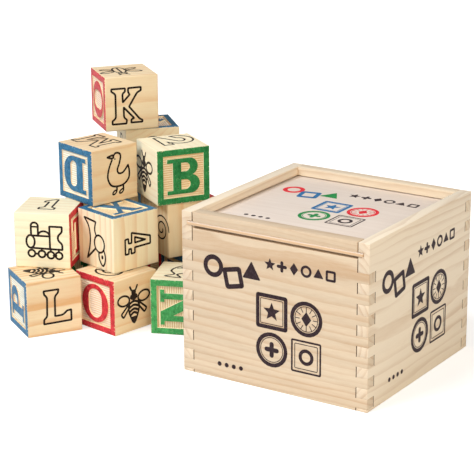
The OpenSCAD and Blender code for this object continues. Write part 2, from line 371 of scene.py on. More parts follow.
def figure_one():
    """The figure 1."""
    return [outline([
        (0.02, 0.36), (0.08, 0.36), (0.08, -0.12, 0.03), (0.15, -0.15), (0.15, -0.24), (-0.13, -0.24),
        (-0.13, -0.15), (-0.05, -0.12, 0.03), (-0.05, 0.2), (-0.13, 0.18), (-0.13, 0.25, 0.03)])]


def figure_two():
    """The figure 2."""
    outer = ellipse(-0.12, 0.16, 0.27, 0.26, 195, -35)
    inner = ellipse(-0.12, 0.16, 0.12, 0.11, -20, 175)
    foot = [(-0.02, -0.09), (0.08, -0.09), (0.1, -0.05), (0.18, -0.05), (0.18, -0.22), (-0.38, -0.22),
            (-0.38, -0.12)]
    return [stroke(outer + foot + inner, True)]


def figure_four():
    """The figure 4, lying on its left side."""
    shape = [
        (-0.245, 0.07), (-0.175, 0.075), (-0.17, -0.01), (-0.105, -0.015), (-0.1, 0.17), (0.31, 0.04),
        (0.31, -0.1), (-0.035, -0.105), (-0.035, -0.2), (-0.115, -0.205), (-0.115, -0.115),
        (-0.165, -0.115), (-0.17, -0.2), (-0.245, -0.2)]
    eye = [(-0.03, 0.08), (0.2, -0.01), (-0.03, -0.02)]
    return [outline(shape), outline(eye, 0.006)]


def figure_three():
    """The figure 3."""
    outer = ellipse(0, 0.13, 0.2, 0.17, 160, -50) + ellipse(0, -0.15, 0.23, 0.19, 50, -160)
    inner = ellipse(0, -0.15, 0.1, 0.08, -150, 90) + ellipse(0, 0.13, 0.08, 0.07, -90, 150)
    return [stroke(outer + inner, True)]


def goose():
    """A goose that looks left."""
    body = spline([
        (-0.03, 0.335), (0.02, 0.385), (0.1, 0.37), (0.13, 0.31), (0.1, 0.19), (0.055, 0.08),
        (0.085, 0.01), (0.18, 0.015), (0.29, 0.125)])
    belly = spline([
        (0.29, 0.125), (0.315, 0.02), (0.3, -0.11), (0.2, -0.2), (0.06, -0.225), (-0.08, -0.19),
        (-0.15, -0.08), (-0.155, 0.03), (-0.115, 0.16), (-0.06, 0.27)])
    beak = [(-0.16, 0.335), (-0.045, 0.36), (-0.02, 0.31), (-0.07, 0.3)]
    return [
        stroke(body),
        stroke(belly),
        outline(beak, 0.01),
        blot(ellipse(0.005, 0.28, 0.014, 0.014)),
        stroke([(0.035, -0.225), (0.035, -0.285)]),
        oval(-0.015, -0.325, 0.05, 0.026, 35, 0.03),
        stroke([(0.175, -0.21), (0.18, -0.285)]),
        oval(0.135, -0.325, 0.05, 0.026, 35, 0.03)]


def train():
    """A steam engine that heads left."""
    drawing = [
        oval(-0.21, -0.02, 0.075, 0.115),
        stroke([(-0.19, 0.09), (0.14, 0.085)]),
        stroke([(-0.2, -0.135), (0.14, -0.145)]),
        stroke([(-0.195, 0.1), (-0.195, 0.255)] + ellipse(-0.132, 0.265, 0.063, 0.062, 180, 0)
               + [(-0.07, 0.255), (-0.072, 0.09)]),
        stroke([(-0.195, 0.25), (-0.07, 0.25)], False, 0.03),
        stroke(ellipse(0.033, 0.09, 0.105, 0.085, 180, 0)),
        outline([(0.138, 0.265), (0.36, 0.265), (0.36, 0.175, 0.03), (0.285, 0.1, 0.06),
                 (0.285, 0.02, 0.06), (0.36, -0.05, 0.03), (0.36, -0.15), (0.138, -0.145)], 0.008)]
    for x, y in ((-0.195, -0.235), (-0.012, -0.24), (0.15, -0.255), (0.295, -0.26)):
        drawing.append(oval(x, y, 0.062, 0.062))
    for x in (-0.012, 0.15, 0.295):
        drawing.append(stroke([(x, -0.145), (x, -0.185)]))
    for x, y in ((-0.105, -0.24), (0.068, -0.25), (0.222, -0.26)):
        drawing.append(stroke([(x - 0.025, y), (x + 0.025, y)]))
    return drawing


def bee():
    """A striped bee with four wings."""
    drawing = [
        blot(ellipse(0, 0.215, 0.055, 0.048)),
        blot(ellipse(0, 0.135, 0.088, 0.062)),
        stroke([(-0.085, 0.325), (-0.055, 0.265), (-0.012, 0.22)], False, 0.038),
        stroke([(0.085, 0.325), (0.055, 0.265), (0.012, 0.22)], False, 0.038),
        stroke(spline([(-0.1, 0.09), (-0.125, -0.03), (-0.095, -0.18), (0, -0.34), (0.095, -0.18),
                       (0.125, -0.03), (0.1, 0.09)])),
        blot([(-0.06, -0.225), (0.06, -0.225), (0, -0.35)])]
    for y, half in ((0.035, 0.115), (-0.035, 0.115), (-0.105, 0.1), (-0.17, 0.08)):
        stripe = spline([(-half, y - 0.02), (0, y + 0.018), (half, y - 0.02)])
        drawing.append(stroke(stripe, False, 0.044))
    upper = oval(0.235, 0.105, 0.135, 0.092, 8)
    lower = outline([(0.1, 0.035), (0.3, -0.135), (0.245, -0.205), (0.115, -0.05)], 0.03)
    for wing in (upper, lower):
        drawing += [wing] + moved([wing], flip=True)
    return drawing


def beetle():
    """A beetle with open wings and two feelers."""
    drawing = [
        oval(0, -0.05, 0.125, 0.24),
        oval(0, 0.235, 0.085, 0.055),
        stroke([(0, 0.2), (0, -0.27)])]
    for side in (-1, 1):
        drawing.append(stroke([(side * 0.03, 0.285), (side * 0.1, 0.36)]))
        drawing.append(oval(side * 0.26, 0.08, 0.15, 0.06, side * 18))
        drawing.append(oval(side * 0.23, -0.12, 0.13, 0.05, side * -22))
    return drawing


def brush():
    """A bent brush with a curl of paint."""
    handle = spline([(-0.31, 0.36), (-0.2, 0.24), (-0.155, 0.06), (-0.175, -0.14), (-0.25, -0.36)])
    return [
        stroke([(-0.3, 0.365), (0.01, 0.34)]),
        stroke(handle),
        stroke(spline([(0.01, 0.34), (-0.025, 0.2), (0.01, 0.1)])),
        stroke([(-0.25, -0.36), (-0.02, -0.155)]),
        oval(0.1, -0.04, 0.14, 0.155),
        stroke(spline([(0.08, -0.2), (0.085, -0.3), (0.13, -0.38), (0.19, -0.42), (0.245, -0.35),
                       (0.26, -0.24), (0.225, -0.14)])),
        blot(ellipse(0.175, -0.265, 0.028, 0.038))]


def swirl():
    """Two turns of a line that winds inwards."""
    points = [turned(0.3 - 0.0062 * i, 0, math.radians(18 * i)) for i in range(41)]
    return [stroke(points, False, 0.03)]


def fish():
    """A fish that heads right."""
    body = spline([(0.3, 0), (0.16, 0.13), (-0.04, 0.15), (-0.2, 0.03), (-0.34, 0.14), (-0.34, -0.14),
                   (-0.2, -0.03), (-0.04, -0.15), (0.16, -0.13)], True)
    return [stroke(body, True), blot(ellipse(0.17, 0.04, 0.02, 0.02)),
            stroke(ellipse(0.1, 0, 0.05, 0.1, 70, -70))]


def apple():
    """An apple with a leaf."""
    body = spline([(0, 0.12), (0.14, 0.18), (0.27, 0.08), (0.25, -0.14), (0.12, -0.29), (0, -0.25),
                   (-0.12, -0.29), (-0.25, -0.14), (-0.27, 0.08), (-0.14, 0.18)], True)
    return [stroke(body, True), stroke(spline([(0, 0.12), (0.01, 0.22), (0.05, 0.3)])),
            stroke(spline([(0.05, 0.22), (0.13, 0.31), (0.24, 0.28), (0.15, 0.21)], True), True)]


def star(outer=0.3, inner=0.13, points=5):
    """Corners of a star that stands on two points."""
    turns = [math.radians(90 + 180 * i / points) for i in range(2 * points)]
    return [turned(inner if i % 2 else outer, 0, a) for i, a in enumerate(turns)]


def star_figure():
    """A star."""
    return [outline(star(), 0.01)]


def house():
    """A house with a door."""
    return [stroke([(-0.22, -0.27), (-0.22, 0.04), (0.22, 0.04), (0.22, -0.27)], True),
            stroke([(-0.29, 0.02), (0, 0.29), (0.29, 0.02)]),
            stroke([(-0.06, -0.27), (-0.06, -0.09), (0.06, -0.09), (0.06, -0.27)])]


def boat():
    """A boat with two sails."""
    return [outline([(-0.3, -0.1), (0.3, -0.1), (0.19, -0.26), (-0.19, -0.26)]),
            stroke([(0, -0.1), (0, 0.32)]),
            stroke([(0.03, 0.29), (0.26, -0.04), (0.03, -0.04)], True),
            stroke([(-0.03, 0.22), (-0.2, -0.04), (-0.03, -0.04)], True)]


def ball():
    """A ball with its seams."""
    return [oval(0, 0, 0.27, 0.27), oval(0, 0, 0.1, 0.27), stroke([(-0.27, 0), (0.27, 0)])]


def cup():
    """A cup with a handle."""
    return [outline([(-0.2, 0.2), (0.16, 0.2), (0.12, -0.24), (-0.16, -0.24)], 0.03),
            stroke(ellipse(0.15, -0.01, 0.12, 0.11, 75, -75)),
            stroke([(-0.17, 0.1), (0.13, 0.1)])]


# What is printed on the sides that show: side, drawing, and how it is turned
PRINTS = {
    "block_k": {"right": letter_k(), "top": moved(beetle(), turn=-90, size=0.95, y=-0.08)},
    "block_goose": {"right": goose(), "top": moved(letter_m(), turn=180, x=-0.06, y=0.02)},
    "block_b": {"front": moved(bee(), x=-0.13, y=-0.01, size=1.08), "top": figure_two()},
    "block_train": {"front": train(), "top": figure_one()},
    "block_four": {"front": brush(), "right": figure_four()},
    "block_red": {"front": moved(swirl(), x=0.26, size=0.9), "right": []},
    "block_l": {"right": letter_l(), "top": moved(bee(), turn=-28, size=1.05)},
    "block_bee": {"right": moved(bee(), x=-0.05, y=-0.01)},
    "block_n": {"top": moved(fish(), turn=80, x=-0.08, y=0.02)},
}

# What the other plain sides get in turn
SPARE_DRAWINGS = [
    house(), moved(figure_three(), size=1.1), fish(), star_figure(), apple(), figure_two(), boat(),
    letter_m(), ball(), figure_one(), cup(), beetle(), letter_l(), goose(), train(),
    moved(figure_four(), turn=90), letter_k()]

# Steps through the spare drawings from block to block, and from side to side
SPARE_BLOCK_STEP = 5
SPARE_SIDE_STEP = 3

# How far the sign is shifted up on each wall, and back on the lid, in shares of the box's width
SIGN_LIFT_SHARES = {"front": 0.02, "right": 0.0, "top": 0.06}

# The four tiles of the sign, in the same shares: size, half the step between them, and their middle and
# scale on the walls and on the lid
TILE_SIZE_SHARE = 0.195
TILE_STEP_SHARE = 0.105
WALL_TILE_SHARES = (0.087, -0.085, 0.88)
LID_TILE_SHARES = (0.07, -0.07, 0.8)

# The small shapes of the sign's row and its dots, in the same shares: size, step, and place of the first
ROW_SIZE_SHARE = 0.06
ROW_STEP_SHARE = 0.064
ROW_START_SHARES = (-0.015, 0.235)
DOT_SIZE_SHARE = 0.022
DOT_STEP_SHARE = 0.04
DOT_START_SHARES = (-0.295, -0.305)
DOT_COUNT = 4

# Sides of a block: drawing's right, drawing's up, way out of the block
SIDES = {
    "front": ((1, 0, 0), (0, 0, 1), (0, -1, 0)),
    "right": ((0, 1, 0), (0, 0, 1), (1, 0, 0)),
    "back": ((-1, 0, 0), (0, 0, 1), (0, 1, 0)),
    "left": ((0, -1, 0), (0, 0, 1), (-1, 0, 0)),
    "top": ((1, 0, 0), (0, 1, 0), (0, 0, 1)),
    "bottom": ((1, 0, 0), (0, -1, 0), (0, 0, -1)),
}


def side_matrix(side, distance):
    """Matrix that puts a drawing on a side at that distance from the centre."""
    across, up, out = (Vector(v) for v in SIDES[side])
    turn = Matrix((across, up, out)).transposed().to_4x4()
    return Matrix.Translation(out * distance) @ turn


# Ink meshes


def sections(points, closed, width):
    """Centre, sideways direction and half width of each cross-section of a stroke."""
    line = [Vector(p) for p in points]
    line = [p for i, p in enumerate(line)
            if (i == 0 and not closed) or (p - line[i - 1]).length > SAME_POINT_SHARE]
    half = width / 2
    count = len(line)
    made = []
    for i, here in enumerate(line):
        ways = []
        if closed or i > 0:
            ways.append((here - line[i - 1]).normalized())
        if closed or i < count - 1:
            ways.append((line[(i + 1) % count] - here).normalized())
        a = ways[0]
        b = ways[-1]
        bisector = (a + b).normalized() if (a + b).length > SAME_POINT_SHARE else a
        sideways = Vector((-bisector.y, bisector.x))
        stretch = min(GREATEST_MITRE, 1 / max(LEAST_MITRE_COSINE, sideways.dot(Vector((-b.y, b.x)))))
        made.append((here, sideways, half * stretch))
    if not closed:
        for end, other in ((0, 1), (-1, -2)):
            here, sideways = made[end][:2]
            way = (line[end] - line[other]).normalized()
            caps = [(here + way * half * math.sin(a), sideways, half * math.cos(a)) for a in CAP_ANGLES]
            made = caps[::-1] + made if end == 0 else made + caps
    return made


def add_stroke(bm, place, unit, points, closed, width, rise):
    """A flat closed strip along the points, standing rise proud of the surface."""
    rings = []
    for centre, sideways, half in sections(points, closed, width):
        left = (centre + sideways * half) * unit
        right = (centre - sideways * half) * unit
        corners = ((left, rise), (right, rise), (right, -INK_SINK), (left, -INK_SINK))
        rings.append([bm.verts.new(place @ Vector((p.x, p.y, z))) for p, z in corners])
    count = len(rings)
    for i in range(count if closed else count - 1):
        a = rings[i]
        b = rings[(i + 1) % count]
        for k in range(4):
            bm.faces.new((a[k], a[(k + 1) % 4], b[(k + 1) % 4], b[k]))
    if not closed:
        bm.faces.new(rings[0][::-1])
        bm.faces.new(rings[-1])


def add_blot(bm, place, unit, points, rise):
    """A filled flat shape with vertical sides."""
    top = [bm.verts.new(place @ Vector((x * unit, y * unit, rise))) for x, y in points]
    low = [bm.verts.new(place @ Vector((x * unit, y * unit, -INK_SINK))) for x, y in points]
    bm.faces.new(top)
    bm.faces.new(low[::-1])
    for i in range(len(points)):
        k = (i + 1) % len(points)
        bm.faces.new((top[i], low[i], low[k], top[k]))


def add_drawing(bm, place, unit, drawing):
    """Each stroke is a hair higher than the last, so that crossing strokes never share a plane."""
    for i, (kind, points, closed, width) in enumerate(drawing):
        rise = INK_RISE * (1 + RISE_STEP_SHARE * i)
        if kind == "stroke":
            add_stroke(bm, place, unit, points, closed, width, rise)
        else:
            add_blot(bm, place, unit, points, rise)


def mesh_object(name, bm, materials):
    """An object of the mesh, linked to the scene."""
    bmesh.ops.recalc_face_normals(bm, faces=bm.faces)
    mesh = bpy.data.meshes.new(name)
    bm.to_mesh(mesh)
    bm.free()
    for material in materials:
        mesh.materials.append(material)
    obj = bpy.data.objects.new(name, mesh)
    bpy.context.scene.collection.objects.link(obj)
    return obj


# Materials


class Graph:
    """Short calls for the nodes of one material or world."""

    def __init__(self, owner, shader="Principled BSDF"):
        owner.use_nodes = True
        self.owner = owner
        self.tree = owner.node_tree
        self.shader = self.tree.nodes[shader]

    def fill(self, socket, value):
        """Gives a socket a value, or joins it to an output, or leaves it if there is none."""
        if isinstance(value, (int, float, tuple)):
            socket.default_value = value
        elif value is not None:
            self.tree.links.new(value, socket)

    def node(self, kind, inputs=None, **settings):
        """A new node with these inputs and settings."""
        made = self.tree.nodes.new(kind)
        for key, value in settings.items():
            setattr(made, key, value)
        for key, value in (inputs or {}).items():
            self.fill(made.inputs[key], value)
        return made

    def math(self, operation, a, b=None):
        """Result of a calculation with numbers or outputs."""
        return self.node("ShaderNodeMath", {0: a, 1: b}, operation=operation).outputs[0]

    def parts(self, vector):
        """The three numbers of a vector."""
        return self.node("ShaderNodeSeparateXYZ", {0: vector}).outputs

    def stretch(self, vector, scale=(1, 1, 1), offset=(0, 0, 0), turn=(0, 0, 0)):
        """A vector resized, turned and shifted."""
        inputs = {"Vector": vector, "Scale": scale, "Location": offset, "Rotation": turn}
        return self.node("ShaderNodeMapping", inputs).outputs["Vector"]

    def millimetres(self):
        """Place in the piece's own coordinates, in millimetres."""
        return self.stretch(self.node("ShaderNodeTexCoord").outputs["Object"], (1 / MM, 1 / MM, 1 / MM))

    def facing(self):
        """Direction of the surface in the piece's own coordinates."""
        return self.node("ShaderNodeTexCoord").outputs["Normal"]

    def noise(self, vector, scale, detail=2.0, rough=0.5, offset=(0, 0, 0)):
        """Noise from 0 to 1, with scale in waves per unit of length."""
        place = self.stretch(vector, scale, offset)
        inputs = {"Vector": place, "Scale": 1.0, "Detail": detail, "Roughness": rough}
        return self.node("ShaderNodeTexNoise", inputs).outputs["Fac"]

    def plus(self, total, value, share):
        """Adds a share of a value to a total."""
        return self.math("ADD", total, self.math("MULTIPLY", value, share))

    def swing(self, value, reach):
        """A noise as a number that swings about 0, by half of reach to each side."""
        return self.math("MULTIPLY", self.math("SUBTRACT", value, 0.5), reach)

    def ramp(self, value, stops):
        """Shade of grey at a value, between stops of place and shade."""
        made = self.node("ShaderNodeValToRGB", {"Fac": value})
        elements = made.color_ramp.elements
        while len(elements) < len(stops):
            elements.new(0.5)
        for element, (place, shade) in zip(elements, stops):
            element.position = place
            element.color = (shade, shade, shade, 1)
        return made.outputs["Color"]

    def mix(self, share, a, b):
        """Colour between a and b."""
        return self.node("ShaderNodeMix", {0: share, 6: a, 7: b}, data_type="RGBA").outputs[2]

    def shade(self, name, value):
        """Fills an input of the shader."""
        self.fill(self.shader.inputs[name], value)

    def surface(self, base, roughness, gloss=GLOSS):
        """Gives the shader its colour, roughness and gloss."""
        self.shade("Base Color", base)
        self.shade("Roughness", roughness)
        self.shade("Specular IOR Level", gloss)

    def bump(self, height, depth, strength):
        """Gives the surface a fine relief."""
        made = self.node("ShaderNodeBump", {"Height": height, "Distance": depth, "Strength": strength})
        self.shade("Normal", made.outputs["Normal"])


# Turns that lay a grain axis along Z
AXIS_TURNS = {"X": (0, math.radians(-90), 0), "Y": (math.radians(90), 0, 0), "Z": (0, 0, 0)}


def wood(name, pale, tan, axis, seed, contrast, darkness, pith=(38, 24), pitch=2.6,
         end_share=END_SHARE, waves=1.0):
    """Sawn wood with growth rings about a pith line along the grain axis. Lengths are in millimetres."""
    g = Graph(bpy.data.materials.new(name))
    along = g.stretch(g.millimetres(), turn=AXIS_TURNS[axis])
    seeded = g.stretch(along, offset=tuple(seed * step for step in SEED_STEP))
    bend = g.noise(seeded, BEND_SCALE)
    ripple = g.noise(seeded, RIPPLE_SCALE, 3.0)
    band = g.noise(seeded, BAND_SCALE)
    fibre = g.noise(seeded, FIBRE_SCALE, 3.0, 0.65)
    fleck = g.noise(seeded, FLECK_SCALE)
    x, y = (g.math("ADD", part, shift) for part, shift in zip(g.parts(along), pith))
    radius = g.math("SQRT", g.math("ADD", g.math("MULTIPLY", x, x), g.math("MULTIPLY", y, y)))
    shift = g.math("ADD", g.swing(bend, waves * BEND_REACH), g.swing(ripple, waves * RIPPLE_REACH))
    rings = g.math("FRACT", g.math("DIVIDE", g.math("ADD", radius, shift), pitch))
    ring = g.ramp(rings, RING_STOPS)
    way = (axis == "X", axis == "Y", axis == "Z")
    ends = g.node("ShaderNodeVectorMath", {0: g.facing(), 1: way}, operation="DOT_PRODUCT")
    end = g.math("POWER", g.math("ABSOLUTE", ends.outputs["Value"]), END_POWER)
    strength = g.math("ADD", g.math("MULTIPLY", band, RING_GAIN), LEAST_RING)
    amount = g.math("MULTIPLY", ring, g.math("MULTIPLY", strength, RING_SHARE * contrast))
    amount = g.math("ADD", amount, g.swing(band, BAND_SHARE * contrast))
    amount = g.math("ADD", amount, g.swing(fibre, FIBRE_SHARE))
    amount = g.math("ADD", g.plus(amount, end, end_share), darkness)
    share = g.node("ShaderNodeClamp", {"Value": amount}).outputs[0]
    base = g.mix(share, colour(pale), colour(tan))
    flecked = g.mix(g.math("MULTIPLY", fleck, FLECK_SHARE), base, colour(FLECK_WOOD))
    g.surface(flecked, WOOD_ROUGHNESS)
    g.bump(g.plus(g.math("MULTIPLY", fibre, FIBRE_RISE), ring, RING_RISE), *WOOD_RELIEF)
    return g.owner


def plywood(name):
    """Thin plywood: a pale face with faint grain, and a warmer edge."""
    g = Graph(bpy.data.materials.new(name))
    mm = g.millimetres()
    streak = g.noise(mm, PLY_STREAK_SCALE, 3.0, offset=(3, 7, 1))
    cloud = g.noise(mm, PLY_CLOUD_SCALE, 1.0)
    fibre = g.noise(mm, PLY_FIBRE_SCALE, 3.0, 0.6)
    amount = g.plus(g.math("MULTIPLY", streak, PLY_STREAK_SHARE), cloud, PLY_CLOUD_SHARE)
    amount = g.math("ADD", amount, g.swing(fibre, PLY_FIBRE_SHARE))
    base = g.mix(g.math("SUBTRACT", amount, PLY_PALE_SHARE), colour(PALE_PLY), colour(TAN_PLY))
    edge = g.math("SUBTRACT", 1.0, g.math("ABSOLUTE", g.parts(g.facing())[2]))
    g.surface(g.mix(g.math("MULTIPLY", edge, PLY_EDGE_SHARE), base, colour(EDGE_PLY)), PLY_ROUGHNESS)
    g.bump(fibre, *PLY_RELIEF)
    return g.owner


def shaded(tone, factor, lift):
    """A linear colour made darker or lighter."""
    return tuple(min(1.0, c * factor + lift) for c in tone[:3]) + (1.0,)


def edge_wear(g, mm, half):
    """From 0 to 1 towards the edges of a block with that half side, in millimetres."""
    a, b, c = (g.math("ABSOLUTE", part) for part in g.parts(mm))
    middle = g.math("MAXIMUM", g.math("MINIMUM", a, b), g.math("MINIMUM", g.math("MAXIMUM", a, b), c))
    reach = WEAR_REACH / MM
    share = g.math("DIVIDE", g.math("SUBTRACT", middle, half - reach), reach)
    return g.math("MAXIMUM", share, 0.0)


def paint(name, code):
    """Rolled paint on sawn wood: patchy, with fine dark and light marks, bare specks and worn edges."""
    g = Graph(bpy.data.materials.new(name))
    mm = g.millimetres()
    cloud = g.noise(mm, PAINT_CLOUD_SCALE)
    marks = g.noise(mm, PAINT_MARK_SCALE, 3.0, 0.7)
    speck = g.noise(mm, PAINT_SPECK_SCALE, 1.0)
    nick = g.noise(mm, PAINT_NICK_SCALE, 2.0, 0.6, offset=(5, 2, 8))
    main = colour(code)
    bare = colour(BARE_SPECK)
    amount = g.plus(g.math("MULTIPLY", cloud, PAINT_CLOUD_SHARE), marks, PAINT_MARK_SHARE)
    base = g.mix(g.ramp(amount, PAINT_STOPS), shaded(main, *DEEP_PAINT), shaded(main, *LIGHT_PAINT))
    base = g.mix(g.math("MULTIPLY", g.ramp(speck, SPECK_STOPS), SPECK_SHARE), base, bare)
    low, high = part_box("block_k")
    worn = g.plus(nick, edge_wear(g, mm, (high.z - low.z) / 2 / MM), EDGE_WEAR_SHARE)
    base = g.mix(g.math("MULTIPLY", g.ramp(worn, WORN_STOPS), WORN_SHARE), base, bare)
    g.surface(base, PAINT_ROUGHNESS)
    g.bump(g.plus(marks, speck, SPECK_RISE), *PAINT_RELIEF)
    return g.owner


def ink(name, code):
    """Stamped ink: dark and slightly uneven. The same shader gives the painted shade in the box's seams."""
    g = Graph(bpy.data.materials.new(name))
    cloud = g.noise(g.millimetres(), INK_SCALE)
    main = colour(code)
    g.surface(g.mix(g.ramp(cloud, INK_STOPS), main, shaded(main, *LIGHT_INK)), INK_ROUGHNESS, INK_GLOSS)
    return g.owner


# Blocks


def block_place(node):
    """Matrix of a block: its centre, and its turn about Z, between -45 and 45 degrees."""
    low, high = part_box(node)
    wave = [0.0, 0.0]
    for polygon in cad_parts[node].data.polygons:
        if abs(polygon.normal.z) < TURN_COSINE:
            a = 4 * math.atan2(polygon.normal.y, polygon.normal.x)
            wave[0] += polygon.area * math.cos(a)
            wave[1] += polygon.area * math.sin(a)
    turn = math.atan2(wave[1], wave[0]) / 4
    return Matrix.Translation((low + high) / 2) @ Matrix.Rotation(turn, 4, "Z")


def local_mesh(node, place):
    """The node's mesh in its piece's own coordinates, with doubled points and flat faces joined."""
    bm = bmesh.new()
    bm.from_mesh(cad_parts[node].data)
    for layer in list(bm.loops.layers.uv):
        bm.loops.layers.uv.remove(layer)
    bm.transform(place.inverted())
    bmesh.ops.remove_doubles(bm, verts=bm.verts, dist=JOIN_REACH)
    for face in bm.faces:
        face.material_index = WOOD_PLACE
    bmesh.ops.dissolve_limit(bm, angle_limit=math.radians(FLAT_ANGLE), verts=bm.verts, edges=bm.edges)
    bm.normal_update()
    return bm


def soften(bm, edges, offset):
    """Rounds edges."""
    bmesh.ops.bevel(bm, geom=edges, offset=offset, segments=SOFT_STEPS, profile=0.5, affect="EDGES",
                    clamp_overlap=True, material=-1)
    bm.normal_update()


def depth_of(face, out, half):
    """How deep a face lies below a side of the block."""
    return half - face.calc_center_median().dot(out)


def carved_depth(bm, out, half):
    """Depth of the carved ground on a side, or 0 where the side is plain."""
    depths = [depth_of(f, out, half) for f in bm.faces if f.normal.dot(out) > LEVEL_COSINE]
    deepest = max((d for d in depths if d < DEEPEST_CARVING), default=0.0)
    return deepest if deepest > LEAST_CARVING else 0.0


def add_ribs(bm, side, half, depth, upright):
    """Cuts the carved ground into strips and lifts them into fine ribs."""
    across, up, out = (Vector(v) for v in SIDES[side])
    way = across if upright else up

    def ground():
        """Faces of the carved ground."""
        level = [f for f in bm.faces if f.normal.dot(out) > LEVEL_COSINE]
        return [f for f in level if abs(depth_of(f, out, half) - depth) < LEVEL_SLACK]

    reach = max(abs(v.co.dot(way)) for f in ground() for v in f.verts)
    count = math.floor(reach / RIB_PITCH)
    step = RIB_PITCH / RIB_STEPS
    for i in range(-count * RIB_STEPS, count * RIB_STEPS + 1):
        place = i * step
        faces = []
        for face in ground():
            reached = [v.co.dot(way) for v in face.verts]
            if min(reached) < place < max(reached):
                faces.append(face)
        edges = {e for f in faces for e in f.edges}
        points = {v for f in faces for v in f.verts}
        bmesh.ops.bisect_plane(bm, geom=faces + list(edges) + list(points), plane_co=way * place,
                               plane_no=way, dist=CUT_SLACK)
    strips = ground()
    for face in strips:
        phase = face.calc_center_median().dot(way) / RIB_PITCH
        # Strips along each rib's lowest line get the darker wood: painted shade
        face.material_index = GROOVE_PLACE if abs(phase - round(phase)) < GROOVE_SHARE else GROUND_PLACE
    for v in {v for f in strips for v in f.verts}:
        place = v.co.dot(way)
        if abs(place) < count * RIB_PITCH:
            v.co += out * RIB_HEIGHT * (0.5 - 0.5 * math.cos(2 * math.pi * place / RIB_PITCH))


def soften_letters(bm, out, half):
    """Rounds the upper edges of the frame and the letter, and paints all that stands proud."""
    edges = []
    for edge in bm.edges:
        if len(edge.link_faces) == 2:
            a, b = (f.normal.dot(out) for f in edge.link_faces)
            height = half - edge.verts[0].co.dot(out)
            if max(a, b) > LEVEL_COSINE and abs(min(a, b)) < UPRIGHT_COSINE and height < LEVEL_SLACK:
                edges.append(edge)
    soften(bm, edges, LETTER_SOFTNESS)
    for face in bm.faces:
        if face.normal.dot(out) > PAINTED_COSINE and depth_of(face, out, half) < PAINT_REACH:
            face.material_index = PAINT_PLACE


def make_block(node, index):
    """One block: its wood, its carved and painted sides, and what is printed on the plain ones."""
    hue, tone, axis, contrast, darkness, pitch = BLOCKS[node]
    place = block_place(node)
    low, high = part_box(node)
    half = (high.z - low.z) / 2
    bm = local_mesh(node, place)
    carved = []
    for side in SIDES:
        out = Vector(SIDES[side][2])
        depth = carved_depth(bm, out, half)
        if depth:
            carved.append(side)
            add_ribs(bm, side, half, depth, node in RIBS_UPRIGHT)
            bm.normal_update()
    for side in carved:
        soften_letters(bm, Vector(SIDES[side][2]), half)
    for face in bm.faces:
        face.smooth = True
    pith = [start + step * (index % count)
            for start, step, count in zip(BLOCK_PITH, BLOCK_PITH_STEP, BLOCK_PITH_COUNT)]
    shade = wood(f"{node}_wood", PALE_WOOD, TAN_WOOD, axis, index + 1, contrast, darkness, pith, pitch,
                 waves=BLOCK_WAVES)
    materials = [shade, PAINT_MATERIALS[hue], GROUND_MATERIALS[tone], GROOVE_SHADE_MATERIALS[tone]]
    piece = mesh_object(f"{node}_piece", bm, materials)
    piece.data.set_sharp_from_angle(angle=math.radians(BLOCK_SHARP_ANGLE))
    piece.matrix_world = place
    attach(piece, node)
    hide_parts(node)
    make_print(node, index, place, half, carved)


def make_print(node, index, place, half, carved):
    """A block's drawings as one thin piece."""
    bm = bmesh.new()
    wanted = PRINTS.get(node, {})
    for number, side in enumerate(SIDES):
        if side not in carved:
            turn = index * SPARE_BLOCK_STEP + number * SPARE_SIDE_STEP
            spare = SPARE_DRAWINGS[turn % len(SPARE_DRAWINGS)]
            add_drawing(bm, side_matrix(side, half), 2 * half, wanted.get(side, spare))
    piece = mesh_object(f"{node}_print", bm, [BLOCK_INK])
    piece.matrix_world = place
    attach(piece, node)


# Box


def in_seam(face, inner, outer):
    """Whether a softened edge lies where a board ends between two fingers, and so gets painted shade."""
    x, y = (abs(v) for v in face.calc_center_median().xy)
    slanted = max(abs(v) for v in face.normal) < LEVEL_COSINE
    away = min(abs(x - inner) + abs(y - outer), abs(x - outer) + abs(y - inner))
    return slanted and away < SEAM_REACH


def make_box_piece(node, material, body):
    """A board of the box with slightly softened edges, painted shade in the seams between the fingers."""
    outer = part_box("right_wall")[1].x
    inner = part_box("right_wall")[0].x
    bm = local_mesh(node, Matrix.Identity(4))
    edges = [e for e in bm.edges if len(e.link_faces) == 2]
    soften(bm, [e for e in edges if e.calc_face_angle() > math.radians(CORNER_ANGLE)], BOX_SOFTNESS)
    for face in bm.faces:
        face.smooth = True
        # Faces in the seams get the painted shade
        face.material_index = int(in_seam(face, inner, outer))
    piece = mesh_object(f"{node}_piece", bm, [material, SEAM_SHADE_MATERIAL])
    piece.data.set_sharp_from_angle(angle=math.radians(BOX_SHARP_ANGLE))
    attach(piece, body)
    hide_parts(node)


def make_box():
    """Seven boards: the walls and the bottom on the box's body, the panel and the rail on the lid's."""
    pines = {node: wood(*board) for node, board in BOARDS.items()}
    ply = plywood("ply_face")
    for node in ("front_wall", "back_wall", "left_wall", "right_wall"):
        make_box_piece(node, pines[node], "box")
    make_box_piece("bottom_panel", ply, "box")
    make_box_piece("lid_panel", ply, "lid")
    make_box_piece("lid_rail", pines["lid_rail"], "lid")


# Plain shapes of the signs, in the same shares as the drawings


def square(half):
    """Corners of a square about the centre."""
    return [(-half, -half), (half, -half), (half, half), (-half, half)]


def ring_shape(r=0.38, width=0.2):
    """A thick ring."""
    return [oval(0, 0, r, r, width=width)]


def triangle_shape(r=0.5, drop=0.08):
    """A filled triangle that stands on a side."""
    corners = [turned(r, 0, math.radians(a)) for a in (90, 210, 330)]
    return [blot(rounded([(x, y - drop) for x, y in corners], 0.06))]


def square_shape(half=0.34, width=0.19):
    """A thick square frame."""
    return [outline(square(half), 0.05, width)]


def cross_shape():
    """A thick upright cross."""
    return [stroke([(-0.32, 0), (0.32, 0)], False, 0.26), stroke([(0, -0.32), (0, 0.32)], False, 0.26)]


